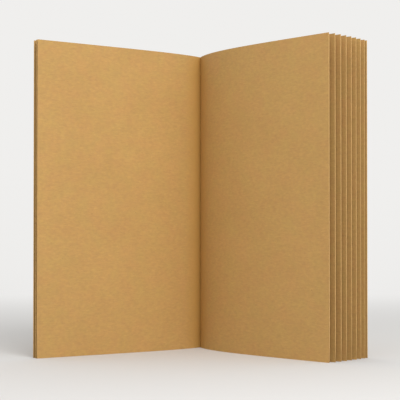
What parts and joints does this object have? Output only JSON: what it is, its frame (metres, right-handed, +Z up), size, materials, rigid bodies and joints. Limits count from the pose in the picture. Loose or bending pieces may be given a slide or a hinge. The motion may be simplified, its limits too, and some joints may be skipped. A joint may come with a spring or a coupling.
{
  "type": "pocket notebook",
  "caption": "Pocket-size stapled notebook with blank kraft pages and a plain kraft cover, standing open on its tail edge; leaves and covers turn about the fold.",
  "frame": {"origin": "under the middle of the bounding box, on the plane the tail edges stand on", "axes": "+Z up along the fold, +X to the right across the opening, -Y towards the reader, into the opening"},
  "size_m": [0.1472, 0.0712, 0.14],
  "materials": {
    "cover_card": "uncoated kraft card, matte",
    "page_paper": "uncoated kraft paper, matte",
    "staple_wire": "bright drawn wire"
  },
  "bodies": {
    "back_cover": {"back_cover": "cover_card"},
    "leaf_10": {"leaf_10": "page_paper"},
    "leaf_09": {"leaf_09": "page_paper"},
    "leaf_08": {"leaf_08": "page_paper"},
    "leaf_07": {"leaf_07": "page_paper"},
    "leaf_06": {"leaf_06": "page_paper"},
    "leaf_05": {"leaf_05": "page_paper"},
    "leaf_04": {"leaf_04": "page_paper"},
    "leaf_03": {"leaf_03": "page_paper"},
    "leaf_02": {"leaf_02": "page_paper"},
    "leaf_01": {"leaf_01": "page_paper"},
    "front_cover": {"front_cover": "cover_card"},
    "spine": {"cover_spine": "cover_card", "sheet_1_fold": "page_paper", "sheet_2_fold": "page_paper", "sheet_3_fold": "page_paper", "sheet_4_fold": "page_paper", "sheet_5_fold": "page_paper", "staple_upper": "staple_wire", "staple_lower": "staple_wire"}
  },
  "joints": [
    {"name": "turn_leaf_10", "type": "hinge", "parent": "back_cover", "child": "leaf_10", "pos_m": [0.00008, 0.0333, 0.07], "axis": [0, 0, -1], "range_deg": [-1.2, 8.8]},
    {"name": "turn_leaf_09", "type": "hinge", "parent": "leaf_10", "child": "leaf_09", "pos_m": [0.00008, 0.0333, 0.07], "axis": [0, 0, -1], "range_deg": [-2.17, 7.83]},
    {"name": "turn_leaf_08", "type": "hinge", "parent": "leaf_09", "child": "leaf_08", "pos_m": [0.00008, 0.0333, 0.07], "axis": [0, 0, -1], "range_deg": [-2.17, 7.83]},
    {"name": "turn_leaf_07", "type": "hinge", "parent": "leaf_08", "child": "leaf_07", "pos_m": [0.00008, 0.0333, 0.07], "axis": [0, 0, -1], "range_deg": [-2.17, 7.83]},
    {"name": "turn_leaf_06", "type": "hinge", "parent": "leaf_07", "child": "leaf_06", "pos_m": [0.00008, 0.0333, 0.07], "axis": [0, 0, -1], "range_deg": [-2.17, 7.83]},
    {"name": "turn_leaf_05", "type": "hinge", "parent": "leaf_06", "child": "leaf_05", "pos_m": [0.00008, 0.0333, 0.07], "axis": [0, 0, -1], "range_deg": [-2.17, 7.83]},
    {"name": "turn_leaf_04", "type": "hinge", "parent": "leaf_05", "child": "leaf_04", "pos_m": [0.00008, 0.0333, 0.07], "axis": [0, 0, -1], "range_deg": [-2.17, 7.83]},
    {"name": "turn_leaf_03", "type": "hinge", "parent": "leaf_04", "child": "leaf_03", "pos_m": [0.00008, 0.0333, 0.07], "axis": [0, 0, -1], "range_deg": [-2.17, 7.83]},
    {"name": "main_opening", "type": "hinge", "parent": "leaf_03", "child": "leaf_02", "pos_m": [0.00008, 0.0333, 0.07], "axis": [0, 0, -1], "range_deg": [-92.7, 87.3]},
    {"name": "turn_leaf_01", "type": "hinge", "parent": "leaf_02", "child": "leaf_01", "pos_m": [0.00008, 0.0333, 0.07], "axis": [0, 0, -1], "range_deg": [-0.75, 9.25]},
    {"name": "turn_front_cover", "type": "hinge", "parent": "leaf_01", "child": "front_cover", "pos_m": [0.00008, 0.0333, 0.07], "axis": [0, 0, -1], "range_deg": [-1.15, 8.85]},
    {"name": "spine_turn", "type": "hinge", "parent": "back_cover", "child": "spine", "pos_m": [0.00008, 0.0333, 0.07], "axis": [0, 0, -1], "range_deg": [-55.63, 52.39]}
  ],
  "couplings": [
    {"joint": "spine_turn", "follows": "main_opening", "ratio": 0.6}
  ]
}
